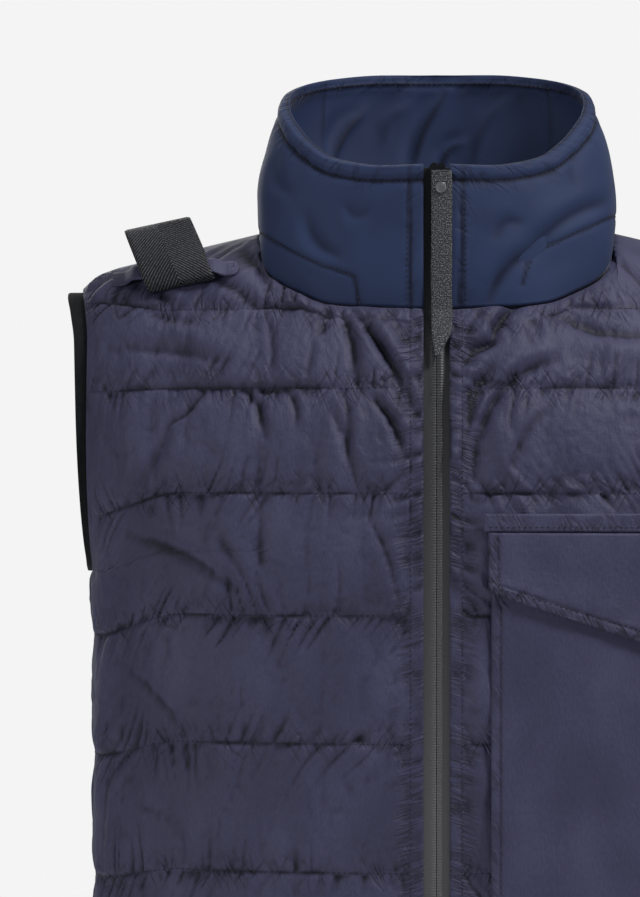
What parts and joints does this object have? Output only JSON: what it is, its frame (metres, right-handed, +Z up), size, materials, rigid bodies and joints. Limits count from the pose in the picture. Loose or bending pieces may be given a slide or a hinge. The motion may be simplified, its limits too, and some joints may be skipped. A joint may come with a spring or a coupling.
{
  "type": "quilted vest",
  "caption": "Hollow quilted vest with a stand collar, centre-front zip, bound armholes, a chest pocket with a slanting flap and a webbing ring on one shoulder",
  "frame": {"origin": "in the middle, at the height of the neck points, where a wearer's shoulders carry the vest", "axes": "+Z up, the front and its zip face -Y, +X is the wearer's left"},
  "size_m": [0.432, 0.238, 0.749],
  "materials": {
    "shell": "crinkled nylon, soft sheen",
    "collar": "smooth soft shell, matte",
    "binding": "matte stretch binding",
    "zip_tape": "coated, faint sheen",
    "ribbon": "ribbed grosgrain",
    "webbing": "twill webbing",
    "metal": "dark plated"
  },
  "bodies": {
    "root": {"front_right": "shell", "front_left": "shell", "back": "shell", "pocket_body": "shell", "pocket_flap": "shell", "pocket_welt": "shell", "loop_keeper": "shell", "collar": "collar", "armhole_band_right": "binding", "armhole_band_left": "binding", "zip_tape_right": "zip_tape", "zip_tape_left": "zip_tape", "zip_coil": "zip_tape", "puller_ribbon": "ribbon", "shoulder_loop": "webbing", "zip_slider": "metal", "puller_snap": "metal"}
  },
  "joints": []
}
